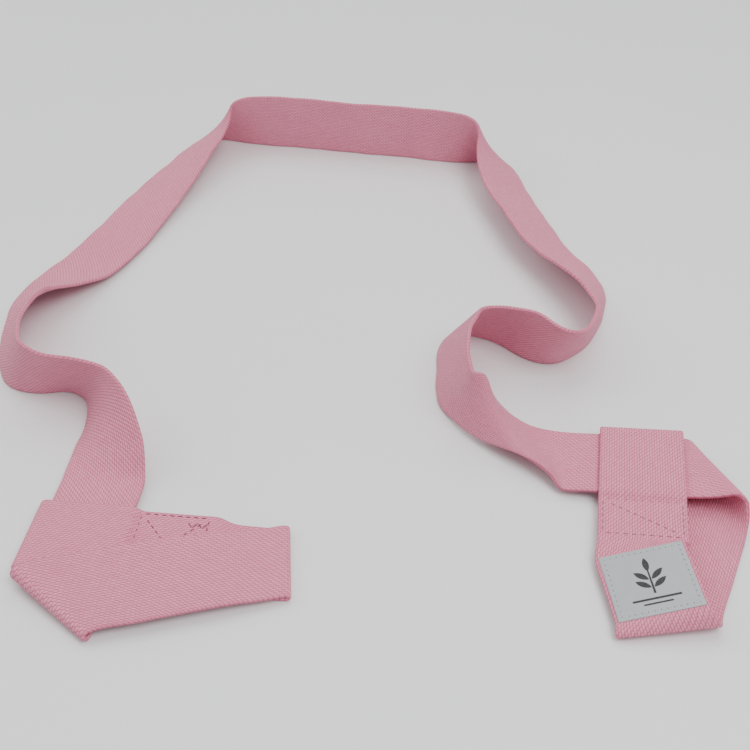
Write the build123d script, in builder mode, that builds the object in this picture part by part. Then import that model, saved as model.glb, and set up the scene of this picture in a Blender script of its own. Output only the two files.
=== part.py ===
from build123d import *
import os
from math import atan2, cos, degrees, radians, sin

# Stretching strap: one length of flat cotton webbing laid out on a table. Each end is folded back
# and box-stitched into a small flat end loop, and the strap runs through its own end loop, so both
# ends are slip nooses. Millimetres, +Z up, table at z = 0, origin under the middle of the layout.

# --- Driving dimensions ----------------------------------------------------------------------
webbing_width = 38.0
webbing_thickness = 2.0
layer_gap = 0.3             # air between two layers that lie on each other
loop_side_clearance = 1.0   # from the strap's far edge to the turn of the end loop
ramp_clearance = 0.6        # from the strap's near edge to where the loop's top layer comes down
loop_ramp = 3.0             # length over which it comes down to the lower layer
row_inset = 0.6             # from the foot of the ramp to the first row of the box stitch
overlap_tail = 2.5          # folded-back webbing beyond the last row
left_box_length = 30.0      # box stitch, measured along the noose band
right_box_length = 20.0
box_side_margin = 2.0       # from the box stitch to the edges of the webbing
stitch_length = 2.6
stitch_space = 1.0
stitch_width = 0.8
stitch_height = 0.35
bed_clearance = 0.05        # from the lowest stitches to the table
label_width = 35.0
label_height = 33.0
label_thickness = 0.5
label_row_inset = 1.8
label_stitch_length = 1.5
label_stitch_space = 1.1
label_stitch_width = 0.5
label_stitch_height = 0.2
print_height = 0.1
left_travel = 15.0          # how far each end loop can slide along the strap
right_travel = 15.0
loop_exit_clearance = 1.0   # straight strap beyond the end loop before its turn begins
flat_limit = 1e-7           # a corner this near to the plane of the other three lies in it

half_width = webbing_width / 2
half_thickness = webbing_thickness / 2
slot_half_height = half_thickness + layer_gap
loop_half_height = slot_half_height + webbing_thickness
ramp_start = half_width + ramp_clearance
ramp_end = ramp_start + loop_ramp
box_start = ramp_end + row_inset
seam_middle = -slot_half_height + half_thickness   # middle of the band where it is sewn down

# Layout coordinates are counted from the working corner of the table; this moves them over the origin.
layout_x = 19.1
layout_y = -45.65

os.makedirs("parts", exist_ok=True)


def spot(x, y, z=0.0):
    """A point of the layout."""
    return Vector(x + layout_x, y + layout_y, z)


def at_height(point, z):
    """The same place at another height."""
    return Vector(point.X, point.Y, z)


def compass(angle, climb=0.0):
    """Unit vector that points along an angle, counted from +X, and climbs."""
    level = Vector(cos(radians(angle)), sin(radians(angle)), 0)
    return level * cos(radians(climb)) + Vector(0, 0, sin(radians(climb)))


def rib(x, y, towards, climb, lift=0.0):
    """One width of webbing that stands at (x, y), points towards an angle and climbs."""
    foot = spot(x, y, lift + half_thickness * cos(radians(climb)))
    return foot, foot + compass(towards, climb) * webbing_width


def webbing(ribs):
    """Planes across the webbing, one at each rib, with the rib's length."""
    middles = [(foot + tip) * 0.5 for foot, tip in ribs]
    made = []
    for index, (foot, tip) in enumerate(ribs):
        before = middles[max(index - 1, 0)]
        after = middles[min(index + 1, len(ribs) - 1)]
        across = (tip - foot).normalized()
        ahead = after - before
        ahead = (ahead - across * ahead.dot(across)).normalized()
        made.append((Plane(origin=middles[index], x_dir=across, z_dir=ahead), (tip - foot).length))
    return made


def stitch_row(start, end, length, space):
    """Locations of the stitches of one row, from start to end in a sketch."""
    run_x = end[0] - start[0]
    run_y = end[1] - start[1]
    run = (run_x**2 + run_y**2) ** 0.5
    count = max(int((run + space) // (length + space)), 1)
    angle = degrees(atan2(run_y, run_x))
    places = []
    for index in range(count):
        share = (index + 0.5) / count
        places.append(Location((start[0] + run_x * share, start[1] + run_y * share, 0), (0, 0, angle)))
    return places


def box_rows(low_x, high_x, low_y, high_y, inset, length, space):
    """Locations of the stitches round a rectangle; each row stops short of the corners."""
    corners = [(low_x, low_y), (high_x, low_y), (high_x, high_y), (low_x, high_y)]
    places = []
    for start, end in zip(corners, corners[1:] + corners[:1]):
        run = ((end[0] - start[0]) ** 2 + (end[1] - start[1]) ** 2) ** 0.5
        step_x = (end[0] - start[0]) / run * inset
        step_y = (end[1] - start[1]) / run * inset
        shortened = ((start[0] + step_x, start[1] + step_y), (end[0] - step_x, end[1] - step_y))
        places += stitch_row(*shortened, length, space)
    return places


def finish(piece, name):
    """Label a finished piece and write it."""
    piece.label = name
    export_step(piece, f"parts/{name}.step")
    print(name, round(piece.volume), piece.is_valid, len(piece.solids()))


# --- Left noose: the strap comes down through its end loop, turns over a diagonal crease and runs
# --- back on top to a fold at the far end, where the band underneath starts ---------------------
left_heading = 84.0                 # of the strap, from its end loop upwards
left_crease_heading = -41.0
left_front_run = 112.0              # crease to far fold, along the upper edge
left_u = compass(left_heading)
left_side = compass(left_heading + 90)
left_band_u = compass(left_heading - 90)
left_seat = loop_half_height + stitch_height + bed_clearance
left_centre = spot(-126.5, -114.0, left_seat)

left_front_heading = 2 * left_crease_heading - left_heading + 180
left_crease_angle = left_crease_heading - (left_heading - 180)
left_crease_length = webbing_width / sin(radians(left_crease_angle))
left_crease_top = left_centre - left_u * (half_width + loop_exit_clearance + 1.0) + left_side * half_width
left_crease_foot = left_crease_top + compass(left_crease_heading) * left_crease_length
left_crease_out = compass(left_crease_heading - 90)
front_u = compass(left_front_heading)
far_top = left_crease_top + front_u * left_front_run
far_heading = (left_front_heading + left_heading - 90) / 2    # half way between the two layers' headings
far_out = compass(far_heading)
far_length = webbing_width / cos(radians(left_front_heading - far_heading))
far_foot = far_top + compass(far_heading - 90) * far_length

band_bed = half_thickness                                 # middle of the band on the table
far_fold_top = band_bed + webbing_thickness + layer_gap   # middle of the layer folded over it
front_top_height = left_seat + loop_half_height + half_thickness + 2.2   # upper edge, over the end loop
front_foot_height = 5.6                                                  # lower edge, over the band
front_rise = (30.0, 25.0)     # from the far fold to where the layer has begun to rise, on each edge
front_level = (60.0, 44.0)    # to where it lies level
front_split = (88.0, 60.0)    # to where the free run of the strap begins
bed_run = 12.0                # webbing flat on the table before the far fold
crease_top_height = front_top_height - 0.6
crease_foot_height = front_foot_height - 0.6
crease_foot_bed = half_thickness + 0.4


def half_turn(low, high, low_height, high_height, out, angle):
    """A rib on the way round a fold, counted in degrees from the upper layer."""
    ends = []
    for point, bottom, top in ((low, low_height[0], high_height[0]), (high, low_height[1], high_height[1])):
        radius = (top - bottom) / 2
        turned = point + out * radius * sin(radians(angle))
        ends.append(at_height(turned, (top + bottom) / 2 + radius * cos(radians(angle))))
    return tuple(ends)


def front_rib(back, heights):
    """A rib of the layer that lies over the end loop, counted back from the far fold on each edge."""
    top = far_top - front_u * back[0]
    foot = far_foot - front_u * back[1]
    return at_height(top, heights[0]), at_height(foot, heights[1])


def left_flat(along):
    """A rib of the strap's straight run through the left end loop."""
    middle = left_centre + left_u * along
    return middle + left_side * half_width, middle - left_side * half_width


left_front_ribs = [
    (at_height(far_top, far_fold_top), at_height(far_foot, far_fold_top)),
    front_rib(front_rise, (7.0, 5.3)),
    front_rib(front_level, (front_top_height, front_foot_height)),
    front_rib(front_split, (front_top_height, front_foot_height)),
]
left_crease_ribs = [
    half_turn(left_crease_top, left_crease_foot, (left_seat, crease_foot_bed),
              (crease_top_height, crease_foot_height), left_crease_out, angle)
    for angle in (0, 45, 90, 135, 180)
]
left_run_end = half_width + left_travel + loop_exit_clearance
left_loop_ribs = [left_flat(along) for along in (-half_width - loop_exit_clearance, 0, left_run_end)]

# --- Free run of the strap: it stands on one edge most of the way, leaning in on the slopes ------
left_curl_ribs = [
    rib(-141.5, -66, -3, 16, 1.4),
    rib(-141, -56, 0, 34, 0.4),
    rib(-139.5, -41, 0, 58),
    rib(-139.5, -27, -32, 68),
    rib(-145, -15.5, -70, 66),
    rib(-155, -12, -88, 66),
    rib(-167, -14.5, -84, 76),
    rib(-180.5, -13, -25, 74),
    rib(-190, -3, -14, 64),
    rib(-195, 13, -5, 60),
    rib(-199, 34, -6, 49),
    rib(-200.5, 55, -20, 37),
    rib(-197.5, 74, -33, 24),
    rib(-191, 88, -30, 12),
    rib(-183, 102, -24, 4),
]
left_slope_ribs = [
    rib(-171, 131, -23, 3),
    rib(-161, 160, -24, 6),
    rib(-150, 188, -24, 13),
    rib(-138, 216, -25, 24),
    rib(-127, 239, -25, 33),
]
top_ribs = [
    rib(-119, 252, -34, 43),
    rib(-110, 256, -48, 56),
    rib(-100, 252.5, -62, 68),
    rib(-86, 248.5, -84, 80),
    rib(-62, 244, -99, 85),
    rib(-42, 241, -101, 85),
    rib(-22, 236.5, -102, 84),
    rib(18, 229.5, -102, 85),
    rib(45, 223, -101, 86),
    rib(58, 221, -105, 83),
    rib(70, 223, -115, 72),
    rib(80.5, 223.5, -130, 57),
    rib(88, 218, -145, 46),
    rib(92.5, 206, -158, 38),
]
right_slope_ribs = [
    rib(96, 187, -168, 32),
    rib(101, 163, -163, 28),
    rib(106, 145, -163, 28),
    rib(110, 126, -165, 31),
    rib(116, 109, -160, 28),
    rib(123, 96, -160, 29),
    rib(127.5, 82, -166, 32),
]
right_curl_ribs = [
    rib(128.5, 72, -142, 40),
    rib(127, 61, -116, 39),
    rib(124, 48, -110, 44),
    rib(118, 35, -108, 50),
    rib(111, 23, -98, 55),
    rib(104, 15, -92, 58),
    rib(96, 9.5, -88, 62),
    rib(88, 8, -78, 65),
    rib(80, 11.5, -62, 67),
    rib(73, 18, -52, 66),
    rib(66, 25, -52, 62),
    rib(59, 30, -54, 58),
    rib(51, 33.5, -52, 54),
    rib(43, 35, -46, 52),
    rib(37, 31.5, -38, 52),
    rib(34, 24, -28, 56),
    rib(32.5, 12, -16, 60),
    rib(31.5, 0, -6, 65),
    rib(31, -14, -16, 68),
]
right_twist_ribs = [
    rib(32.5, -26, -42, 66),
    (spot(37.5, -36, 1.5), spot(45, -40, 35.5)),
    (spot(43.5, -45.5, 3), spot(48, -42.5, 36.6)),
    (spot(50.5, -53, 4.5), spot(50, -41.5, 36)),
    (spot(57, -58.5, 6.2), spot(51.5, -39, 32)),
    (spot(62.5, -63.5, 7.8), spot(53, -36, 25)),
    (spot(67.5, -68, 9), spot(55.5, -34, 16)),
    (spot(72, -71.5, 9), spot(60, -34, 8.5)),
    (spot(75.5, -74.8, 8.4), spot(66, -36.5, 4)),
    (spot(79.5, -79, 7), spot(75, -42, 2.6)),
]

# --- Right noose: the strap climbs through its end loop, turns under in a soft diagonal roll, runs
# --- towards the front on the table and bends up into the band that carries the label -----------
right_heading = -10.0
right_climb = 5.0
right_u = compass(right_heading, right_climb)
right_side = compass(right_heading - 90)
right_up = right_side.cross(right_u)
right_seat = 7.0
right_centre = spot(121.5, -72.2, right_seat)


def right_flat(along):
    """A rib of the strap's straight run through the right end loop."""
    middle = right_centre + right_u * along
    return middle + right_side * half_width, middle - right_side * half_width


right_run_start = half_width + right_travel + loop_exit_clearance
right_loop_ribs = [right_flat(along) for along in (-right_run_start, 0, half_width + loop_exit_clearance / 2)]
right_roll_ribs = [
    (spot(149, -96.5, 11.2), spot(145.4, -57.3, 8.6)),
    (spot(157.5, -98, 14.2), spot(147.0, -58.3, 7.6)),
    (spot(161.5, -100.5, 11.5), spot(147.8, -59.2, 5.6)),
    (spot(162, -104, 6.5), spot(147.0, -60.0, 3.4)),
    (spot(161.2, -107.5, 2.6), spot(144.8, -61.2, 1.6)),
    (spot(159.6, -112, 1), spot(141.5, -64, 1)),
]
rest_ribs = [
    (spot(156, -119.5, half_thickness), spot(122.5, -103, half_thickness)),
    (spot(153, -125.7, half_thickness), spot(119.5, -109.4, half_thickness)),
]

strap_ribs = left_crease_ribs + left_loop_ribs + left_curl_ribs + left_slope_ribs + top_ribs
strap_ribs += right_slope_ribs + right_curl_ribs + right_twist_ribs
strap_ribs += right_loop_ribs + right_roll_ribs + rest_ribs

# --- End loops: the end of the webbing turned back round the strap and sewn to itself -----------
def side_plane(centre, band_u, strap_u):
    """Plane of an end loop's side view: X along the noose band, Y up, Z against the strap."""
    return Plane(origin=centre, x_dir=band_u, z_dir=strap_u * -1)


def end_loop(plane, box_length):
    """A hairpin round the strap's slot, closed where the two layers are sewn together."""
    turn = -half_width - loop_side_clearance
    tail = box_start + box_length + overlap_tail
    seam_top = -slot_half_height + webbing_thickness
    with BuildPart() as loop:
        with BuildSketch(plane):
            with BuildLine():
                Polyline((turn, -loop_half_height), (tail, -loop_half_height), (tail, seam_top),
                         (ramp_end, seam_top), (ramp_start, loop_half_height), (turn, loop_half_height))
                RadiusArc((turn, loop_half_height), (turn, -loop_half_height), -loop_half_height)
            make_face()
            with BuildLine():
                Polyline((turn, -slot_half_height), (ramp_end, -slot_half_height),
                         (ramp_start, slot_half_height), (turn, slot_half_height))
                RadiusArc((turn, slot_half_height), (turn, -slot_half_height), -slot_half_height)
            make_face(mode=Mode.SUBTRACT)
        extrude(amount=half_width, both=True)
    return loop.part


left_plane = side_plane(left_centre, left_band_u, left_u)
right_plane = side_plane(right_centre, right_side, right_u)
left_end_loop = end_loop(left_plane, left_box_length)
right_end_loop = end_loop(right_plane, right_box_length)
finish(left_end_loop, "left_end_loop")
finish(right_end_loop, "right_end_loop")


# --- Box stitching, on both faces of the sewn layers ---------------------------------------------
def box_stitching(side, box_length, diagonals):
    """The thread of one box stitch as it shows: rows of stitches on the upper and the lower face."""
    high = half_width - box_side_margin
    box_end = box_start + box_length
    rows = box_rows(box_start, box_end, -high, high, stitch_width, stitch_length, stitch_space)
    gap = 2 * stitch_length
    for sign in diagonals:
        corner_run = ((box_length, 2 * high * sign))
        run = (corner_run[0] ** 2 + corner_run[1] ** 2) ** 0.5
        cut_x = corner_run[0] / run * gap
        cut_y = corner_run[1] / run * gap
        rows += stitch_row((box_start + cut_x, -high * sign + cut_y), (box_end - cut_x, high * sign - cut_y),
                           stitch_length, stitch_space)
    up = side.y_dir
    faces = (
        Plane(origin=side.origin + up * (seam_middle + half_thickness), x_dir=side.x_dir, z_dir=up),
        Plane(origin=side.origin - up * loop_half_height, x_dir=side.x_dir, z_dir=up * -1),
    )
    with BuildPart() as thread:
        for face in faces:
            with BuildSketch(face):
                with Locations(*rows):
                    Rectangle(stitch_length, stitch_width)
            extrude(amount=stitch_height)
    return thread.part


finish(box_stitching(left_plane, left_box_length, (1, -1)), "left_box_stitching")
finish(box_stitching(right_plane, right_box_length, (1,)), "right_box_stitching")

# --- Noose bands: the webbing between the fold of the noose and the box stitch -------------------
band_lead = 1.2             # straight band before the sewn end


def sewn_end(plane, side, box_length):
    """The last two ribs of a band, where it meets its end loop face to face."""
    tail = plane.origin + plane.x_dir * (box_start + box_length + overlap_tail) + plane.y_dir * seam_middle
    lead = tail + plane.x_dir * band_lead
    return [(middle + side * half_width, middle - side * half_width) for middle in (tail, lead)]


left_noose_ribs = sewn_end(left_plane, left_u, left_box_length)
band_back = left_band_u * bed_run
left_noose_ribs += [(at_height(far_top - band_back, band_bed), at_height(far_foot - band_back, band_bed))]
left_noose_ribs += [
    half_turn(far_top, far_foot, (band_bed, band_bed), (far_fold_top, far_fold_top), far_out, angle)
    for angle in (180, 135, 90, 45)
]
left_noose_ribs += left_front_ribs

label_across = compass(5, 12.5)
label_centre = spot(112.1, -140.6, 8.1)
label_up = label_across.cross(compass(95)).normalized()
label_along = label_up.cross(label_across).normalized()
label_zone = label_height / 2


def label_rib(along):
    """A rib of the flat stretch of band that carries the label."""
    middle = label_centre + label_along * along
    return middle + label_across * half_width, middle - label_across * half_width


right_noose_ribs = [
    (spot(148.5, -135, half_thickness), spot(115, -119, half_thickness)),
    (spot(140.5, -151, 1.2), spot(98, -155.5, half_thickness)),
    (spot(138.4, -156, 2.8), spot(95.8, -160.4, 1.2)),
    (spot(136.8, -159.8, 5.6), spot(94.5, -163.3, 2.6)),
    (spot(134.4, -159.2, 9.2), spot(94.4, -161.8, 4.0)),
    label_rib(-label_zone),
    label_rib(label_zone),
]
right_noose_ribs += sewn_end(right_plane, right_u, right_box_length)[::-1]

# The whole length of webbing is one run of ribs. The strap itself ends short of both nooses' free
# parts: at the left above the end loop, at the right where the webbing lies on the table.
run = webbing(left_noose_ribs + strap_ribs + right_noose_ribs)
strap_first = len(left_noose_ribs) - 1
strap_last = strap_first + len(strap_ribs)


def corners(plane, width):
    """The four corners of one cross-section, in order round it."""
    aside = plane.x_dir * (width / 2)
    out = plane.y_dir * half_thickness
    middle = plane.origin
    return [middle - aside - out, middle + aside - out, middle + aside + out, middle - aside + out]


def side_face(start, end, far_end, far_start):
    """One side between two cross-sections: flat where its corners lie in one plane, and ruled elsewhere."""
    normal = (end - start).cross(far_start - start).normalized()
    if abs(normal.dot(far_end - start)) < flat_limit:
        return Face(Wire.make_polygon([start, end, far_end, far_start]))
    return Face.make_surface_from_curves(Edge.make_line(start, end), Edge.make_line(far_start, far_end))


def webbing_piece(sections):
    """One closed solid of webbing: a face between each two cross-sections on all four sides."""
    rings = [corners(plane, width) for plane, width in sections]
    faces = [Face(Wire.make_polygon(rings[0])), Face(Wire.make_polygon(rings[-1]))]
    for ring, following in zip(rings, rings[1:]):
        for side in range(4):
            other = (side + 1) % 4
            faces.append(side_face(ring[side], ring[other], following[other], following[side]))
    with BuildPart() as piece:
        add(Solid(Shell(faces)))
    return piece.part


finish(webbing_piece(run[strap_first : strap_last + 1]), "strap_webbing")
finish(webbing_piece(run[: strap_first + 1]), "left_noose_band")
finish(webbing_piece(run[strap_last:]), "right_noose_band")

# --- Label: a small woven patch sewn to the band all round, with a plain printed sprig ------------
label_face = Plane(origin=label_centre + label_up * half_thickness, x_dir=label_across, z_dir=label_up)
with BuildPart() as care_label:
    with BuildSketch(label_face):
        Rectangle(label_width, label_height)
    extrude(amount=label_thickness)
finish(care_label.part, "care_label")

label_top = label_face.offset(label_thickness)
row_x = label_width / 2 - label_row_inset
row_y = label_height / 2 - label_row_inset
with BuildPart() as label_stitching:
    with BuildSketch(label_top):
        with Locations(*box_rows(-row_x, row_x, -row_y, row_y, label_stitch_width, label_stitch_length,
                                 label_stitch_space)):
            Rectangle(label_stitch_length, label_stitch_width)
    extrude(amount=label_stitch_height)
finish(label_stitching.part, "label_stitching")

leaf_length = 7.0
leaf_bow = 5.25          # radius of each side of a leaf
stem_length = 11.0
stem_width = 0.8
stem_foot = -6.5
bar_length = 20.0
bar_width = 0.9
bar_drop = 2.5
leaf_places = ((-1, -3.5, 145), (1, -3.5, 35), (-1, 0.5, 140), (1, 0.5, 40), (0, 4.5, 90))
with BuildPart() as label_print:
    with BuildSketch(label_top):
        with Locations((0, stem_foot + stem_length / 2)):
            Rectangle(stem_width, stem_length)
        for side, height, angle in leaf_places:
            foot = (side * stem_width / 2, height)
            tip = (foot[0] + leaf_length * cos(radians(angle)), foot[1] + leaf_length * sin(radians(angle)))
            with BuildLine():
                RadiusArc(foot, tip, leaf_bow)
                RadiusArc(tip, foot, leaf_bow)
            make_face()
        with Locations((0, stem_foot - bar_drop)):
            Rectangle(bar_length, bar_width)
    extrude(amount=print_height)
finish(label_print.part, "label_print")
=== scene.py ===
"""Looks of the stretching strap: soft cotton webbing, its sewn end loops, the box stitches and the label.

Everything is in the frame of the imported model, in metres. Places along the strap are given as ribs, the
width of the webbing at one place, in millimetres of the layout and moved over the origin by Layout.
"""

import logging
import math
from dataclasses import dataclass
from enum import Enum

import bpy
import numpy as np
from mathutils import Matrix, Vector

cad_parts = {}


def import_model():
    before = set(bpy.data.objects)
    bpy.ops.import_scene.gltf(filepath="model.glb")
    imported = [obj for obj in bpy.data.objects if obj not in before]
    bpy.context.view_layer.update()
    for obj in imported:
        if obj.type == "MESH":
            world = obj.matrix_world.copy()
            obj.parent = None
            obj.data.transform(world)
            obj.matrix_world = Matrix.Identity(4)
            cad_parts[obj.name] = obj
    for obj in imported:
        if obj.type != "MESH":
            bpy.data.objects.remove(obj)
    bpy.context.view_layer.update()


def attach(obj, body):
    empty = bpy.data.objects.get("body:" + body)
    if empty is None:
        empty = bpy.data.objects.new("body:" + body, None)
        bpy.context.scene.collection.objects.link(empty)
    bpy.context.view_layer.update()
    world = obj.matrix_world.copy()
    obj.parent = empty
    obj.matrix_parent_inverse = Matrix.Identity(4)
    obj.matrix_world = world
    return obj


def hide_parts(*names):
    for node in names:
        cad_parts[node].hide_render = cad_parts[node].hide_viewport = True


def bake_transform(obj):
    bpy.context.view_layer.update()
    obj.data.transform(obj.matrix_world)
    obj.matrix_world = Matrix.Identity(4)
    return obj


log = logging.getLogger("strap")

MM = 0.001
Rib = tuple[np.ndarray, np.ndarray]


class Body(Enum):
    """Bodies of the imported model."""

    STRAP = "strap"
    LEFT = "left_loop"
    RIGHT = "right_loop"


# --- Shader graph ------------------------------------------------------------------------------


class Value:
    """A number that a node gives; arithmetic on it adds Math nodes."""

    def __init__(self, graph: "Graph", socket: bpy.types.NodeSocket) -> None:
        """Keeps the graph and the socket."""
        self.graph = graph
        self.socket = socket

    def math(self, operation: str, *others: "Value | float", clamp: bool = False) -> "Value":
        """Adds one Math node.

        Args:
            operation: The node's operation.
            others: Its second and third values.
            clamp: Whether the result stays between 0 and 1.

        Returns:
            The node's result.
        """
        values = {index: value for index, value in enumerate((self, *others))}
        node = self.graph.node("ShaderNodeMath", {"operation": operation, "use_clamp": clamp}, values)
        return Value(self.graph, node.outputs[0])

    def _reflected(self, operation: str, other: float) -> "Value":
        """The same with a plain number on the left."""
        node = self.graph.node("ShaderNodeMath", {"operation": operation}, {0: other, 1: self})
        return Value(self.graph, node.outputs[0])

    def __add__(self, other: "Value | float") -> "Value":
        """Sum."""
        return self.math("ADD", other)

    def __sub__(self, other: "Value | float") -> "Value":
        """Difference."""
        return self.math("SUBTRACT", other)

    def __mul__(self, other: "Value | float") -> "Value":
        """Product."""
        return self.math("MULTIPLY", other)

    def __truediv__(self, other: "Value | float") -> "Value":
        """Quotient."""
        return self.math("DIVIDE", other)

    def __radd__(self, other: float) -> "Value":
        """Sum with a number on the left."""
        return self._reflected("ADD", other)

    def __rsub__(self, other: float) -> "Value":
        """Difference from a number."""
        return self._reflected("SUBTRACT", other)

    def __rmul__(self, other: float) -> "Value":
        """Product with a number on the left."""
        return self._reflected("MULTIPLY", other)

    def floor(self) -> "Value":
        """The whole number below."""
        return self.math("FLOOR")

    def fraction(self) -> "Value":
        """What is left above the whole number."""
        return self.math("FRACT")

    def crown(self, power: float) -> "Value":
        """1 in the middle of the unit interval and 0 at its ends.

        Args:
            power: How flat the middle is.

        Returns:
            The crown's height.
        """
        return 1.0 - (self * 2.0 - 1.0).math("ABSOLUTE").math("POWER", power)

    def step(self, low: float, high: float) -> "Value":
        """A smooth step from 0 at low to 1 at high."""
        node = self.graph.node(
            "ShaderNodeMapRange",
            {"interpolation_type": "SMOOTHSTEP"},
            {"Value": self, "From Min": low, "From Max": high},
        )
        return Value(self.graph, node.outputs["Result"])


Color = tuple[float, float, float]


class Graph:
    """The nodes of one material, with one Principled shader."""

    def __init__(self, name: str) -> None:
        """Makes an empty material of that name."""
        self.material = bpy.data.materials.new(name)
        self.material.use_nodes = True
        self.tree = self.material.node_tree
        self.tree.nodes.clear()
        self.shader = self.node("ShaderNodeBsdfPrincipled")
        output = self.node("ShaderNodeOutputMaterial")
        self.tree.links.new(self.shader.outputs["BSDF"], output.inputs["Surface"])

    def node(self, kind: str, settings: dict | None = None, values: dict | None = None) -> bpy.types.Node:
        """Adds a node.

        Args:
            kind: The node's type.
            settings: Its settings, which are set first.
            values: Numbers, colours or links of its sockets, by name or place.

        Returns:
            The node.
        """
        node = self.tree.nodes.new(kind)
        for key, value in (settings or {}).items():
            setattr(node, key, value)
        for key, value in (values or {}).items():
            self.put(node.inputs[key], value)
        return node

    def put(self, socket: bpy.types.NodeSocket, value: object) -> None:
        """Gives a socket a link or a plain value."""
        source = value.socket if isinstance(value, Value) else value
        if isinstance(source, bpy.types.NodeSocket):
            self.tree.links.new(source, socket)
        elif isinstance(source, tuple) and len(source) == 3 and socket.type == "RGBA":
            socket.default_value = (*source, 1.0)
        else:
            socket.default_value = source

    def cloth(self) -> tuple[Value, Value]:
        """Metres along and across the webbing at the shaded point."""
        place = self.node("ShaderNodeUVMap", {"uv_map": "cloth"})
        parts = self.node("ShaderNodeSeparateXYZ", None, {0: place.outputs["UV"]})
        return Value(self, parts.outputs["X"]), Value(self, parts.outputs["Y"])

    def vector(
        self, x: "Value | float", y: "Value | float", z: "Value | float" = 0.0
    ) -> bpy.types.NodeSocket:
        """Three numbers as one vector."""
        return self.node("ShaderNodeCombineXYZ", None, {0: x, 1: y, 2: z}).outputs[0]

    def noise(self, place: bpy.types.NodeSocket, scale: float, detail: float = 2.0) -> Value:
        """Soft noise between 0 and 1 at a place."""
        values = {"Vector": place, "Scale": scale, "Detail": detail}
        return Value(self, self.node("ShaderNodeTexNoise", None, values).outputs["Fac"])

    def grain(self, place: bpy.types.NodeSocket) -> Value:
        """A different number between 0 and 1 for each whole place."""
        return Value(self, self.node("ShaderNodeTexWhiteNoise", None, {"Vector": place}).outputs["Value"])

    def mix(self, share: "Value | float", first: object, second: object) -> bpy.types.NodeSocket:
        """A colour between two colours."""
        node = self.node("ShaderNodeMix", {"data_type": "RGBA"}, {0: share, 6: first, 7: second})
        return node.outputs[2]

    def bump(self, height: Value, distance: float, strength: float) -> None:
        """Raises the surface by a height that varies over it."""
        values = {"Height": height, "Distance": distance, "Strength": strength}
        self.put(self.shader.inputs["Normal"], self.node("ShaderNodeBump", None, values).outputs["Normal"])

    def dress(self, **sockets: object) -> bpy.types.Material:
        """Sets the shader's sockets, with _ for a space, and gives the material."""
        for key, value in sockets.items():
            self.put(self.shader.inputs[key.replace("_", " ")], value)
        return self.material


# --- Finishes ------------------------------------------------------------------------------------


@dataclass(frozen=True)
class CottonWebbing:
    """Heavy cotton webbing: short warp floats in staggered columns, with the gaps between them, where the
    weft shows, painted darker as shade.
    """

    yarn_width: float = 1.12 * MM
    float_length: float = 2.25 * MM
    relief: float = 0.42 * MM
    selvedge: float = 1.3 * MM
    slant: float = 0.32
    width: float = 38.0 * MM
    yarn: Color = (0.735, 0.225, 0.335)
    pale_yarn: Color = (0.840, 0.300, 0.415)
    # Painted shade of the gaps between floats; the selvedge is also tinted toward this dark colour.
    selvedge_tint_and_gap_shade: Color = (0.480, 0.095, 0.175)

    def material(self) -> bpy.types.Material:
        """Builds the material."""
        graph = Graph("cotton_webbing")
        along, across = graph.cloth()
        column = across / self.yarn_width
        number = column.floor()
        odd = (number * 0.5).fraction() * 2.0
        run = along / self.float_length + odd * 0.5 + column.fraction() * self.slant
        crown = column.fraction().crown(2.0) * run.fraction().crown(2.4)
        place = graph.vector(along, across)
        uneven = graph.noise(place, 1100.0, 3.0)
        height = crown * 0.85 + uneven * 0.3
        shade = graph.grain(graph.vector(number, run.floor()))
        cloud = graph.noise(graph.vector(along * 0.5, across), 70.0, 3.0)
        yarn = graph.mix(shade * 0.55 + cloud * 0.45, self.yarn, self.pale_yarn)
        edge = (across - self.width / 2).math("ABSOLUTE").step(self.width / 2 - self.selvedge, self.width / 2)
        worn = graph.mix(edge * 0.35, yarn, self.selvedge_tint_and_gap_shade)
        # Painted shade: the low places of the weave, between the floats, take the dark gap colour.
        color = graph.mix(height.step(0.12, 0.62), self.selvedge_tint_and_gap_shade, worn)
        graph.bump(height, self.relief, 0.75)
        return graph.dress(Base_Color=color, Roughness=0.86, Sheen_Weight=0.08, Sheen_Roughness=0.5)


@dataclass(frozen=True)
class SewingThread:
    """Twisted sewing thread of one colour, with a painted highlight along the crest of each ply."""

    name: str
    color: Color
    # Lighter colour painted on the ply crests as a highlight.
    light: Color
    twist: float = 0.45 * MM

    def material(self) -> bpy.types.Material:
        """Builds the material."""
        graph = Graph(self.name)
        along, across = graph.cloth()
        ply = ((along + across * 0.8) / self.twist).fraction().crown(2.0)
        graph.bump(ply, 0.08 * MM, 0.8)
        # Painted highlight: the crest of each ply takes the lighter colour, the grooves keep the darker one.
        return graph.dress(Base_Color=graph.mix(ply, self.color, self.light), Roughness=0.6)


@dataclass(frozen=True)
class WovenLabel:
    """Fine pale grey label cloth with a dense plain weave, painted darker as shade between its threads."""

    thread: float = 0.33 * MM
    face: Color = (0.440, 0.462, 0.478)
    # Painted shade of the weave's hollows; it also mottles the thread faces.
    gap: Color = (0.330, 0.348, 0.362)

    def material(self) -> bpy.types.Material:
        """Builds the material."""
        graph = Graph("woven_label")
        along, across = graph.cloth()
        warp = (along / self.thread).fraction().crown(2.0)
        weft = (across / self.thread).fraction().crown(2.0)
        height = warp * weft
        cloud = graph.noise(graph.vector(along, across), 160.0, 2.0)
        face = graph.mix(cloud * 0.5, self.face, self.gap)
        graph.bump(height, 0.05 * MM, 0.5)
        # Painted shade: where the threads dip, the cloth takes the darker gap colour.
        color = graph.mix(height.step(0.0, 0.5), self.gap, face)
        return graph.dress(Base_Color=color, Roughness=0.62, Sheen_Weight=0.15)


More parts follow.
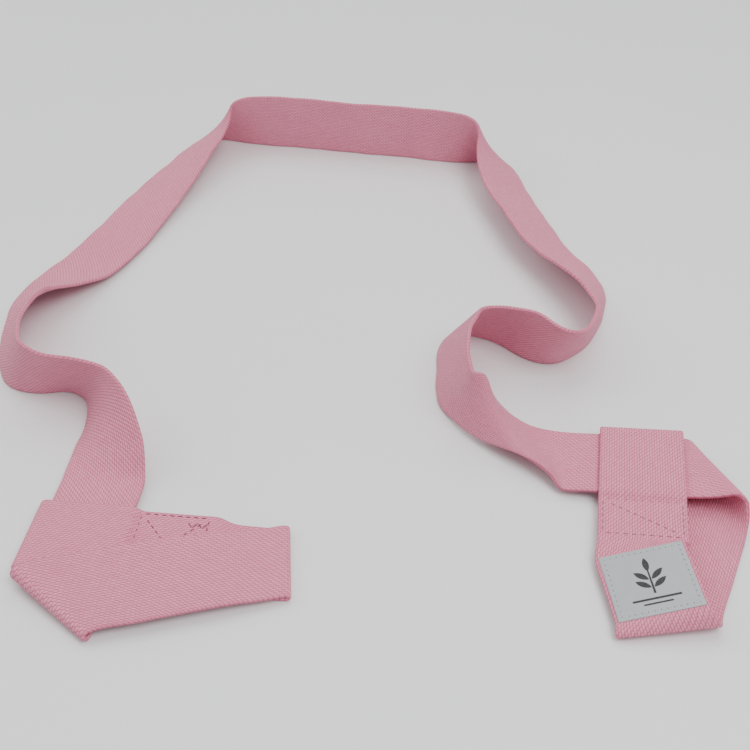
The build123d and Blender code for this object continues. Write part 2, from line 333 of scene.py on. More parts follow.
@dataclass(frozen=True)
class LabelPrint:
    """Dark grey print, a little broken by the weave under it."""

    ink: Color = (0.012, 0.013, 0.016)
    thin: Color = (0.045, 0.047, 0.052)

    def material(self) -> bpy.types.Material:
        """Builds the material."""
        graph = Graph("label_print")
        along, across = graph.cloth()
        patch = graph.noise(graph.vector(along, across), 1500.0, 2.0)
        color = graph.mix(patch.step(0.45, 0.75), self.ink, self.thin)
        return graph.dress(Base_Color=color, Roughness=0.55)


@dataclass(frozen=True)
class PaleFloor:
    """Plain pale table top."""

    color: Color = (0.82, 0.825, 0.83)
    faint: Color = (0.79, 0.795, 0.80)

    def material(self) -> bpy.types.Material:
        """Builds the material."""
        graph = Graph("pale_floor")
        place = graph.node("ShaderNodeTexCoord").outputs["Object"]
        cloud = graph.noise(place, 6.0, 2.0)
        return graph.dress(Base_Color=graph.mix(cloud, self.color, self.faint), Roughness=0.42)


# --- Mesh making ---------------------------------------------------------------------------------


def make_mesh(name: str, points: np.ndarray, faces: list, cloth: np.ndarray) -> bpy.types.Object:
    """Makes a smooth-shaded object.

    Args:
        name: The piece's name.
        points: Its points, in metres.
        faces: Lists of point numbers.
        cloth: Metres along and across the cloth at each point.

    Returns:
        The object.
    """
    mesh = bpy.data.meshes.new(name)
    mesh.from_pydata(points.tolist(), [], faces)
    layer = mesh.uv_layers.new(name="cloth")
    corners = np.empty(len(mesh.loops), dtype=np.int64)
    mesh.loops.foreach_get("vertex_index", corners)
    layer.data.foreach_set("uv", cloth[corners].astype(np.float32).ravel())
    mesh.polygons.foreach_set("use_smooth", [True] * len(mesh.polygons))
    mesh.update()
    piece = bpy.data.objects.new(name, mesh)
    bpy.context.scene.collection.objects.link(piece)
    return piece


def eased(knots: np.ndarray, values: np.ndarray, places: np.ndarray) -> np.ndarray:
    """A smooth curve through values that never swings past them.

    Args:
        knots: Where the values are.
        values: One row for each knot.
        places: Where the curve is wanted.

    Returns:
        One row for each place.
    """
    gap = np.diff(knots)[:, None]
    slope = np.diff(values, axis=0) / gap
    tangent = np.zeros_like(values)
    before, after = slope[:-1], slope[1:]
    same = before * after > 0
    weight_a = 2 * gap[1:] + gap[:-1]
    weight_b = gap[1:] + 2 * gap[:-1]
    safe_before = np.where(same, before, 1.0)
    safe_after = np.where(same, after, 1.0)
    harmonic = (weight_a + weight_b) / (weight_a / safe_before + weight_b / safe_after)
    tangent[1:-1] = np.where(same, harmonic, 0.0)
    tangent[0] = slope[0]
    tangent[-1] = slope[-1]
    index = np.clip(np.searchsorted(knots, places, side="right") - 1, 0, len(gap) - 1)
    span = gap[index]
    t = ((places - knots[index])[:, None]) / span
    start, finish = values[index], values[index + 1]
    return (
        start * (2 * t**3 - 3 * t**2 + 1)
        + tangent[index] * span * (t**3 - 2 * t**2 + t)
        + finish * (3 * t**2 - 2 * t**3)
        + tangent[index + 1] * span * (t**3 - t**2)
    )


def unit(rows: np.ndarray) -> np.ndarray:
    """Each row at length 1."""
    return rows / np.maximum(np.linalg.norm(rows, axis=-1, keepdims=True), 1e-12)


# --- Layout of the strap -------------------------------------------------------------------------


@dataclass
class Layout:
    """Ribs of the strap, in the order of the webbing from the left noose's hidden end to the right one's."""

    shift_x: float = 19.1
    shift_y: float = -45.65
    width: float = 38.0
    thickness: float = 2.0
    gap: float = 0.3
    loop_side: float = 1.0
    ramp_start: float = 19.6
    ramp_end: float = 22.6
    box_start: float = 23.2
    tail: float = 2.5
    left_box: float = 30.0
    right_box: float = 20.0
    seat_lift: float = 0.4
    label_size: tuple[float, float] = (35.0, 33.0)

    def __post_init__(self) -> None:
        """Works out the frames of both end loops and of the label."""
        self.half = self.width / 2
        self.skin = self.thickness / 2
        self.slot = self.skin + self.gap
        self.loop_half = self.slot + self.thickness
        self.seam = self.skin - self.slot
        self.left_u = self.compass(84.0)
        self.left_v = self.compass(-6.0)
        self.left_centre = self.spot(-126.5, -114.0, self.loop_half + self.seat_lift)
        self.right_u = self.compass(-10.0, 5.0)
        self.right_v = self.compass(-100.0)
        self.right_up = np.cross(self.right_v, self.right_u)
        self.right_centre = self.spot(121.5, -72.2, 7.0)
        self.label_across = self.compass(5.0, 12.5)
        self.label_up = unit(np.cross(self.label_across, self.compass(95.0)))
        self.label_along = unit(np.cross(self.label_up, self.label_across))
        self.label_centre = self.spot(112.1, -140.6, 8.1)

    def spot(self, x: float, y: float, z: float = 0.0) -> np.ndarray:
        """A point of the layout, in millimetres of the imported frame."""
        return np.array([x + self.shift_x, y + self.shift_y, z])

    @staticmethod
    def compass(angle: float, climb: float = 0.0) -> np.ndarray:
        """Unit vector along an angle counted from +X, climbing."""
        a, c = math.radians(angle), math.radians(climb)
        return np.array([math.cos(a) * math.cos(c), math.sin(a) * math.cos(c), math.sin(c)])

    def rib(self, x: float, y: float, towards: float, climb: float, lift: float = 0.0) -> Rib:
        """One width of webbing that stands at a place, points towards an angle and climbs."""
        foot = self.spot(x, y, lift + self.skin * math.cos(math.radians(climb)))
        return foot, foot + self.compass(towards, climb) * self.width

    def pair(self, a: tuple[float, float, float], b: tuple[float, float, float]) -> Rib:
        """A rib between two places."""
        return self.spot(*a), self.spot(*b)

    def hairpin(
        self, centre: np.ndarray, v: np.ndarray, up: np.ndarray, u: np.ndarray, box: float
    ) -> list[Rib]:
        """An end loop from its hidden end, round the strap, to where it becomes the noose's band.

        Args:
            centre: The middle of the strap in the loop.
            v: Along the band.
            up: Up from the strap.
            u: Along the strap.
            box: Length of the box stitch.

        Returns:
            Ribs of the loop.
        """
        middle = self.slot + self.skin
        turn = -self.half - self.loop_side
        end = self.box_start + box + self.tail
        side = [(end - 1.0, -middle), (end - 8.0, -middle), (0.0, -middle), (turn + 4.0, -middle)]
        for angle in range(-90, 91, 30):
            a = math.radians(angle)
            side.append((turn - middle * math.cos(a), middle * math.sin(a)))
        side += [(turn + 4.0, middle), (0.0, middle), (self.ramp_start - 2.5, middle)]
        side += [(self.ramp_start + 0.6, middle * 0.72), (self.ramp_end - 0.6, self.seam + middle * 0.22)]
        side += [(self.ramp_end + 2.0, self.seam), (end - 6.0, self.seam)]
        ribs = []
        for x, y in side:
            at = centre + v * x + up * y
            ribs.append((at + u * self.half, at - u * self.half))
        return ribs

    def sewn_end(self, centre: np.ndarray, v: np.ndarray, up: np.ndarray, u: np.ndarray, box: float) -> Rib:
        """The rib where a band meets its end loop."""
        at = centre + v * (self.box_start + box + self.tail) + up * self.seam
        return at + u * self.half, at - u * self.half

    def half_turn(self, rib: Rib, low: tuple, high: tuple, out: np.ndarray, angle: float) -> Rib:
        """A rib on the way round a fold, counted in degrees from the upper layer."""
        a = math.radians(angle)
        ends = []
        for point, bottom, top in zip(rib, low, high):
            radius = (top - bottom) / 2
            turned = point + out * radius * math.sin(a)
            ends.append(np.array([turned[0], turned[1], (top + bottom) / 2 + radius * math.cos(a)]))
        return ends[0], ends[1]

    def label_rib(self, along: float) -> Rib:
        """A rib of the flat stretch of band under the label."""
        at = self.label_centre + self.label_along * along
        return at + self.label_across * self.half, at - self.label_across * self.half

    def left_noose(self) -> tuple[list[Rib], list[Rib], list[Rib]]:
        """The left band with its far fold and the layer over it, the crease, and the run in the end loop."""
        seat = self.left_centre[2]
        u = self.left_u
        aside = self.compass(174.0)
        crease, front, far_heading = -41.0, 14.0, 4.0
        slant = math.radians(55.0)
        length = self.width / math.sin(slant)
        top = self.left_centre - u * (self.half + 2.0) + aside * self.half
        foot = top + self.compass(crease) * length
        along = self.compass(front)
        far_top = top + along * 112.0
        slant_far = math.radians(front - far_heading)
        far_foot = far_top + self.compass(far_heading - 90.0) * self.width / math.cos(slant_far)
        far, far_out = (far_top, far_foot), self.compass(far_heading)
        upper = self.thickness * 1.5 + self.gap
        lower = self.skin

        def over(back_a: float, z_a: float, back_b: float, z_b: float) -> Rib:
            """A rib of the layer over the end loop."""
            a, b = far[0] - along * back_a, far[1] - along * back_b
            return np.array([a[0], a[1], z_a]), np.array([b[0], b[1], z_b])

        z_top = seat + self.loop_half + self.skin + 2.2
        z_foot = 5.6
        band = [self.sewn_end(self.left_centre, self.left_v, np.array([0, 0, 1.0]), u, self.left_box)]
        for back, lift in ((22.0, 0.6), (12.0, 0.0)):
            band.append(tuple(end * (1, 1, 0) - self.left_v * back + (0, 0, lower + lift) for end in far))
        turn = [
            self.half_turn(far, (lower, lower), (upper, upper), far_out, angle)
            for angle in (180, 150, 120, 90, 60, 30, 0)
        ]
        layer = [over(8, upper + 0.5, 8, upper + 0.4), over(30, 7.0, 25, 5.3), over(60, z_top, 44, z_foot)]
        layer.append(over(88, z_top, 60, z_foot))
        fold_out = self.compass(crease - 90.0)
        fold = [
            self.half_turn((top, foot), (seat, self.skin + 0.4), (z_top - 0.6, z_foot - 0.6), fold_out, angle)
            for angle in (0, 30, 60, 90, 120, 150, 180)
        ]
        run = []
        for along_u in (-self.half - 1.0, -8.0, 0.0, 12.0, 24.0, 35.0):
            at = self.left_centre + u * along_u
            run.append((at + aside * self.half, at - aside * self.half))
        return band + turn + layer, fold, run

    def free_run(self) -> list[Rib]:
        """The strap from the left end loop to the right one, standing on one edge most of the way."""
        left_curl = [
            (-141.5, -66, -3, 16, 1.4), (-141, -56, 0, 34, 0.4), (-139.5, -41, 0, 58), (-139.5, -27, -32, 68),
            (-145, -15.5, -70, 66), (-155, -12, -88, 66), (-167, -14.5, -84, 76), (-180.5, -13, -25, 74),
            (-190, -3, -14, 64), (-195, 13, -5, 60), (-199, 34, -6, 49), (-200.5, 55, -20, 37),
            (-197.5, 74, -33, 24), (-191, 88, -30, 12), (-183, 102, -24, 4),
        ]
        left_slope = [
            (-171, 131, -23, 3), (-161, 160, -24, 6), (-150, 188, -24, 13), (-138, 216, -25, 24),
            (-127, 239, -25, 33),
        ]
        top = [
            (-119, 252, -34, 43), (-110, 256, -48, 56), (-100, 252.5, -62, 68), (-86, 248.5, -84, 80),
            (-62, 244, -99, 85), (-42, 241, -101, 85), (-22, 236.5, -102, 84), (18, 229.5, -102, 85),
            (45, 223, -101, 86), (58, 221, -105, 83), (70, 223, -115, 72), (80.5, 223.5, -130, 57),
            (88, 218, -145, 46), (92.5, 206, -158, 38),
        ]
        right_slope = [
            (96, 187, -168, 32), (101, 163, -163, 28), (106, 145, -163, 28), (110, 126, -165, 31),
            (116, 109, -160, 28), (123, 96, -160, 29), (127.5, 82, -166, 32),
        ]
        right_curl = [
            (128.5, 72, -142, 40), (127, 61, -116, 39), (124, 48, -110, 44), (118, 35, -108, 50),
            (111, 23, -98, 55), (104, 15, -92, 58), (96, 9.5, -88, 62), (88, 8, -78, 65), (80, 11.5, -62, 67),
            (73, 18, -52, 66), (66, 25, -52, 62), (59, 30, -54, 58), (51, 33.5, -52, 54), (43, 35, -46, 52),
            (37, 31.5, -38, 52), (34, 24, -28, 56), (32.5, 12, -16, 60), (31.5, 0, -6, 65),
            (31, -14, -16, 68), (32.5, -26, -42, 66),
        ]
        ribs = [self.rib(*place) for place in left_curl + left_slope + top + right_slope + right_curl]
        twist = [
            ((37.5, -36, 1.5), (45, -40, 35.5)), ((43.5, -45.5, 3), (48, -42.5, 36.6)),
            ((50.5, -53, 4.5), (50, -41.5, 36)), ((57, -58.5, 6.2), (51.5, -39, 32)),
            ((62.5, -63.5, 7.8), (53, -36, 25)), ((67.5, -68, 9), (55.5, -34, 16)),
            ((72, -71.5, 9), (60, -34, 8.5)), ((75.5, -74.8, 8.4), (66, -36.5, 4)),
            ((79.5, -79, 7), (75, -42, 2.6)),
        ]
        return ribs + [self.pair(*ends) for ends in twist]

    def right_noose(self) -> tuple[list[Rib], list[Rib], list[Rib]]:
        """The run in the right end loop with the soft roll, the layer on the table, and the label band."""
        run = []
        for along_u in (-35.0, -24.0, 0.0, 10.0, self.half + 0.5):
            at = self.right_centre + self.right_u * along_u
            run.append((at + self.right_v * self.half, at - self.right_v * self.half))
        roll = [
            ((149, -96.5, 11.2), (145.4, -57.3, 8.6)), ((157.5, -98, 14.2), (147, -58.3, 7.6)),
            ((161.5, -100.5, 11.5), (147.8, -59.2, 5.6)), ((162, -104, 6.5), (147, -60, 3.4)),
            ((161.2, -107.5, 2.6), (144.8, -61.2, 1.6)), ((159.6, -112, 1), (141.5, -64, 1)),
            ((156, -119.5, 1), (122.5, -103, 1)), ((153, -125.7, 1), (119.5, -109.4, 1)),
        ]
        under = [
            ((148.5, -135, 1), (115, -119, 1)), ((140.5, -151, 1.2), (98, -155.5, 1)),
            ((138.4, -156, 2.8), (95.8, -160.4, 1.2)), ((136.8, -159.8, 5.6), (94.5, -163.3, 2.6)),
            ((134.4, -159.2, 9.2), (94.4, -161.8, 4)),
        ]
        reach = self.label_size[1] / 2
        label = [self.label_rib(-reach), self.label_rib(0.0), self.label_rib(reach)]
        directions = (self.right_v, self.right_up, self.right_u)
        label.append(self.sewn_end(self.right_centre, *directions, self.right_box))
        return run + [self.pair(*r) for r in roll], [self.pair(*r) for r in under], label


@dataclass
class Stretch:
    """A named part of the webbing between two ribs, and what it stands for."""

    name: str
    first: int
    last: int
    body: Body
    nodes: tuple[str, ...]
    bends_to: Body | None = None
    start: tuple[float, float, float] = (0.0, 0.0, 0.0)
    end: tuple[float, float, float] = (0.0, 0.0, 0.0)


@dataclass
class Webbing:
    """The one length of cotton webbing, sampled finely between its ribs."""

    layout: Layout
    finish: bpy.types.Material
    step: float = 2.2
    columns: int = 18
    edge_points: int = 5
    skin: float = 0.95
    ripple: float = 0.32
    soft_rounds: int = 22

    def __post_init__(self) -> None:
        """Lays out all ribs and samples them."""
        plan = self.layout
        straight_up = np.array([0.0, 0.0, 1.0])
        left_pin = plan.hairpin(plan.left_centre, plan.left_v, straight_up, plan.left_u, plan.left_box)
        right_pin = plan.hairpin(plan.right_centre, plan.right_v, plan.right_up, plan.right_u, plan.right_box)
        left_band, fold, run = plan.left_noose()
        right_run, under, label = plan.right_noose()
        parts = [left_pin, left_band, fold + run, plan.free_run(), right_run, under, label, right_pin[::-1]]
        counts = np.cumsum([len(part) for part in parts])
        ribs = [rib for part in parts for rib in part]
        self.cut_left_tail = int(counts[0])
        self.cut_left_free = int(counts[1]) - 1
        self.cut_right_free = int(counts[4]) - 1
        self.cut_label = int(counts[5])
        self.last_rib = len(ribs) - 1
        self.free_from = int(counts[2])
        self.free_to = int(counts[3])
        self.sample(ribs)

    def sample(self, ribs: list[Rib]) -> None:
        """Draws a smooth surface through the ribs and keeps its rings.

        Args:
            ribs: All ribs in order.
        """
        feet = np.array([rib[0] for rib in ribs])
        tips = np.array([rib[1] for rib in ribs])
        foot_hop, tip_hop = (np.linalg.norm(np.diff(edge, axis=0), axis=1) for edge in (feet, tips))
        hop = (foot_hop + tip_hop) / 2
        knots = np.concatenate([[0.0], np.cumsum(hop)])
        places, self.ring_of_rib = [], [0]
        for index, length in enumerate(hop):
            count = max(2, math.ceil(length / self.step))
            places += [knots[index] + length * part / count for part in range(count)]
            self.ring_of_rib.append(len(places))
        places = np.array([*places, knots[-1]])
        both = eased(knots, np.hstack([feet, tips]), places)
        self.along = places
        self.feet, self.tips = both[:, :3], both[:, 3:]
        self.knots = knots
        self.calm = self.calmness(places)
        self.soften()

    def soften(self) -> None:
        """Rounds the free run's kinks as cloth does, at the width that each rib has."""
        width = np.linalg.norm(self.tips - self.feet, axis=1, keepdims=True)
        feet, tips = self.feet.copy(), self.tips.copy()
        for _ in range(self.soft_rounds):
            for edge in (feet, tips):
                edge[1:-1] = (edge[:-2] + 2 * edge[1:-1] + edge[2:]) / 4
        share = self.calm[:, None]
        feet = self.feet * (1 - share) + feet * share
        tips = self.tips * (1 - share) + tips * share
        middle, half = (feet + tips) / 2, unit(tips - feet) * width / 2
        self.feet, self.tips = middle - half, middle + half

    def calmness(self, places: np.ndarray) -> np.ndarray:
        """How much of the ripple each ring gets: none where layers lie on each other."""
        start, end = self.knots[self.free_from], self.knots[self.free_to]
        rise = np.clip((places - start) / 40.0, 0, 1)
        fall = np.clip((end - places) / 60.0, 0, 1)
        return rise * fall

    def rings(self) -> tuple[np.ndarray, np.ndarray]:
        """All points of the webbing's skin.

        Returns:
            Points, as rings by places round the ring by 3, and metres along and across at each.
        """
        share = np.linspace(0.0, 1.0, self.columns)
        rib = self.tips - self.feet
        width = np.linalg.norm(rib, axis=1, keepdims=True)
        aside = rib / width
        feet_ahead = np.gradient(self.feet, self.along, axis=0)
        tips_ahead = np.gradient(self.tips, self.along, axis=0)
        inner = self.skin + share * (width - 2 * self.skin)
        middle = self.feet[:, None, :] + aside[:, None, :] * inner[:, :, None]
        part = (inner / width)[:, :, None]
        ahead = feet_ahead[:, None, :] * (1 - part) + tips_ahead[:, None, :] * part
        out = unit(np.cross(np.broadcast_to(aside[:, None, :], ahead.shape), ahead))
        u = self.along[:, None]
        wave = np.sin(u / 6.1 + share * 2.3) + 0.7 * np.sin(u / 3.3 - share * 4.1)
        wave = wave + 0.5 * np.sin(u / 11.7 + share)
        edge = 0.45 + 0.55 * np.abs(share * 2 - 1) ** 2
        middle = middle + out * (self.ripple * self.calm[:, None] * wave * edge * 0.6)[:, :, None]
        upper = middle + out * self.skin
        lower = middle - out * self.skin
        turns = np.linspace(0, math.pi, self.edge_points + 2)[1:-1]
        round_tip = [
            middle[:, -1] + self.skin * (math.cos(a) * out[:, -1] + math.sin(a) * aside) for a in turns
        ]
        round_foot = [
            middle[:, 0] - self.skin * (math.cos(a) * out[:, 0] + math.sin(a) * aside) for a in turns
        ]
        points = np.concatenate(
            [upper, np.stack(round_tip, 1), lower[:, ::-1], np.stack(round_foot, 1)], axis=1
        )
        even = share * (self.layout.width - 2 * self.skin) + self.skin
        lip = self.skin * np.sin(turns)
        across = np.concatenate([even, self.layout.width - self.skin + lip, even[::-1], self.skin - lip])
        cloth = np.empty((*points.shape[:2], 2))
        cloth[:, :, 0] = self.along[:, None]
        cloth[:, :, 1] = across[None, :]
        points[:, :, 2] = np.maximum(points[:, :, 2], 0.02)
        return points * MM, cloth * MM

    def build(self, stretch: Stretch, points: np.ndarray, cloth: np.ndarray) -> bpy.types.Object:
        """Makes one stretch of the webbing as a closed piece, fixes it to its body unless a second body is
        given for it, and hides the model's nodes it stands for.

        Args:
            stretch: Which stretch.
            points: Rings of the whole webbing.
            cloth: Their places on the cloth.

        Returns:
            The piece.
        """
        first, last = self.ring_of_rib[stretch.first], self.ring_of_rib[stretch.last]
        own, flat = points[first : last + 1], cloth[first : last + 1]
        rings, round_count = own.shape[:2]
        faces = []
        for ring in range(rings - 1):
            for place in range(round_count):
                ahead = (place + 1) % round_count
                low = ring * round_count
                high = low + round_count
                faces.append((low + place, low + ahead, high + ahead, high + place))
        faces.append(list(range(round_count))[::-1])
        faces.append(list(range((rings - 1) * round_count, rings * round_count)))
        piece = make_mesh(stretch.name, own.reshape(-1, 3), faces, flat.reshape(-1, 2))
        mesh = piece.data
        for cap in list(mesh.polygons)[-2:]:
            cap.use_smooth = False
        cut_points = len(mesh.vertices) - round_count
        for edge in mesh.edges:
            if max(edge.vertices) < round_count or min(edge.vertices) >= cut_points:
                edge.use_edge_sharp = True
        self.shade_on(mesh, round_count, first, last)
        piece.data.materials.append(self.finish)
        if stretch.bends_to is None:
            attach(piece, stretch.body.value)
        else:
            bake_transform(piece)
        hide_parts(*stretch.nodes)
        middles = (self.feet + self.tips)[first : last + 1] / 2
        return piece

    def shade_on(self, mesh: bpy.types.Mesh, round_count: int, first: int, last: int) -> None:
        """Turns the normals at both cut ends as the webbing goes on beyond them, so that no cut shows.

        Args:
            mesh: The stretch's mesh.
            round_count: Points in one ring.
            first: Its first ring.
            last: Its last ring.
        """
        points = np.empty(len(mesh.vertices) * 3, dtype=np.float32)
        mesh.vertices.foreach_get("co", points)
        rings = points.reshape(-1, round_count, 3)
        count = len(rings)
        normals = [(0.0, 0.0, 0.0)] * len(mesh.loops)
        for ring, whole in ((0, first), (count - 1, last)):
            middle = (self.feet[whole] + self.tips[whole]) / 2 * MM
            aside = unit(self.tips[whole] - self.feet[whole])
            low = max(whole - 1, 0)
            high = min(whole + 1, len(self.feet) - 1)
            ahead = (self.feet + self.tips)[high] - (self.feet + self.tips)[low]
            up = unit(np.cross(aside, ahead))
            rib_length = float(np.linalg.norm(self.tips[whole] - self.feet[whole]))
            half = (rib_length / 2 - self.skin) * MM
            for polygon in mesh.polygons:
                if not polygon.use_smooth:
                    continue
                for corner in polygon.loop_indices:
                    point = mesh.loops[corner].vertex_index
                    if point // round_count != ring:
                        continue
                    offset = rings[ring, point % round_count] - middle
                    over = float(np.dot(offset, aside))
                    beyond = over - max(-half, min(half, over))
                    normal = up * float(np.dot(offset, up)) + aside * beyond
                    normals[corner] = tuple(unit(normal))
        mesh.normals_split_custom_set(normals)

    def make(self) -> None:
        """Makes every stretch."""
        points, cloth = self.rings()
        plan = self.layout
        cut_ring = self.ring_of_rib[self.cut_left_free]
        left_cut = (self.feet[cut_ring], self.tips[cut_ring])
        towards = np.cross(unit(left_cut[0] - left_cut[1]), np.array([0.0, 0.0, 1.0]))
        towards[2] = 0.0
        towards = unit(towards)
        if towards[0] > 0:
            towards = -towards
        left_end = (left_cut[0] + left_cut[1]) / 2
        left_end = left_end + towards * min(0.0, float(np.dot(left_cut[0] - left_end, towards)))
        left_start = left_end - towards * 30.0
        right_end = self.layout.spot(136.0, -114.0, 1.0)
        right_start = self.layout.spot(119.0, -150.0, 1.0)
        stretches = (
            Stretch("left_end_loop_webbing", 0, self.cut_left_tail, Body.LEFT, ("left_end_loop",)),
            Stretch("left_noose_webbing", self.cut_left_tail, self.cut_left_free, Body.LEFT,
                    ("left_noose_band",), Body.STRAP, tuple(left_start * MM), tuple(left_end * MM)),
            Stretch("free_webbing", self.cut_left_free, self.cut_right_free, Body.STRAP, ("strap_webbing",)),
            Stretch("right_noose_webbing", self.cut_right_free, self.cut_label, Body.RIGHT,
                    ("right_noose_band",), Body.STRAP, tuple(right_start * MM), tuple(right_end * MM)),
            Stretch("right_end_loop_webbing", self.cut_label, self.last_rib, Body.RIGHT,
                    ("right_end_loop", "right_noose_band")),
        )
        for stretch in stretches:
            self.build(stretch, points, cloth)
        log.info("webbing laid out over %.0f mm", plan.width)


# --- Stitching -----------------------------------------------------------------------------------


@dataclass
class Patch:
    """A flat place that is sewn: its middle, and the directions along x, along y and out of it."""

    origin: np.ndarray
    x: np.ndarray
    y: np.ndarray
    up: np.ndarray

    def point(self, x: float, y: float, z: float) -> np.ndarray:
        """A point of the patch, in millimetres."""
        return self.origin + self.x * x + self.y * y + self.up * z


@dataclass
class Seam:
    """Stitches along straight rows on one patch, each a short thread that dives in at both ends."""

    name: str
    patch: Patch
    finish: bpy.types.Material
    body: Body
    slot: str
    nodes: tuple[str, ...]
    stitch: float = 2.6
    space: float = 1.0
    radius: float = 0.27
    sides: int = 8
    rings: int = 7

    def row(self, start: tuple[float, float], end: tuple[float, float]) -> list[tuple]:
        """Both ends of each stitch of one row."""
        a, b = np.array(start), np.array(end)
        run = float(np.linalg.norm(b - a))
        count = max(int((run + self.space) // (self.stitch + self.space)), 1)
        direction = (b - a) / run
        made = []
        for index in range(count):
            middle = a + (b - a) * (index + 0.5) / count
            made.append((middle - direction * self.stitch / 2, middle + direction * self.stitch / 2))
        return made

    def box(self, low: tuple[float, float], high: tuple[float, float], inset: float) -> list[tuple]:
        """Rows round a rectangle, each stopping short of the corners."""
        corners = [low, (high[0], low[1]), high, (low[0], high[1])]
        made = []
        for start, end in zip(corners, corners[1:] + corners[:1]):
            a, b = np.array(start), np.array(end)
            step = (b - a) / np.linalg.norm(b - a) * inset
            made += self.row(tuple(a + step), tuple(b - step))
        return made

    def make(self, stitches: list[tuple]) -> bpy.types.Object:
        """Makes all stitches as one piece and fixes it to its body.

        Args:
            stitches: Both ends of each stitch.

        Returns:
            The piece.
        """
        points, faces, cloth = [], [], []
        for start, end in stitches:
            first = len(points)
            span = end - start
            length = float(np.linalg.norm(span))
            side = np.array([-span[1], span[0]]) / length
            for ring in range(self.rings):
                share = ring / (self.rings - 1)
                arch = math.sin(math.pi * share) ** 0.6
                radius = self.radius * (0.45 + 0.55 * arch)
                height = self.radius * (arch * 1.15 - 0.85)
                x, y = start + span * share
                for place in range(self.sides):
                    angle = 2 * math.pi * place / self.sides
                    out = side * radius * math.cos(angle)
                    points.append(self.patch.point(x + out[0], y + out[1], height + radius * math.sin(angle)))
                    cloth.append((length * share * MM, radius * angle * MM))
            for ring in range(self.rings - 1):
                for place in range(self.sides):
                    ahead = (place + 1) % self.sides
                    low = first + ring * self.sides
                    high = low + self.sides
                    faces.append((low + place, low + ahead, high + ahead, high + place))
            faces.append([first + place for place in range(self.sides)][::-1])
            faces.append([first + (self.rings - 1) * self.sides + place for place in range(self.sides)])
        piece = make_mesh(self.name, np.array(points) * MM, faces, np.array(cloth))
        piece.data.materials.append(self.finish)
        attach(piece, self.body.value)
        if self.nodes:
            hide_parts(*self.nodes)
        log.info("%s: %d stitches", self.name, len(stitches))
        return piece


@dataclass
class BoxStitch:
    """A rectangle of stitches with diagonals that sews an end loop."""

    name: str
    patch: Patch
    length: float
    diagonals: tuple[int, ...]
    back_tack: bool
    finish: bpy.types.Material
    body: Body
    node: str
    margin: float = 2.0

    def make(self, plan: Layout) -> None:
        """Makes the box stitch."""
        seam = Seam(self.name, self.patch, self.finish, self.body, "thread", (self.node,))
        high = plan.half - self.margin
        near, far = plan.box_start, plan.box_start + self.length
        stitches = seam.box((near, -high), (far, high), 0.8)
        for sign in self.diagonals:
            stitches += seam.row((near + 2.5, sign * (3.0 - high)), (far - 2.5, sign * (high - 3.0)))
        if self.back_tack:
            for step in range(4):
                x = far - 9.0 + 2.2 * step
                lean = 1.6 if step % 2 else -1.6
                stitches.append((np.array([x, high - 4.5 - lean]), np.array([x + 2.4, high - 4.5 + lean])))
        seam.make(stitches)


# --- Label ---------------------------------------------------------------------------------------


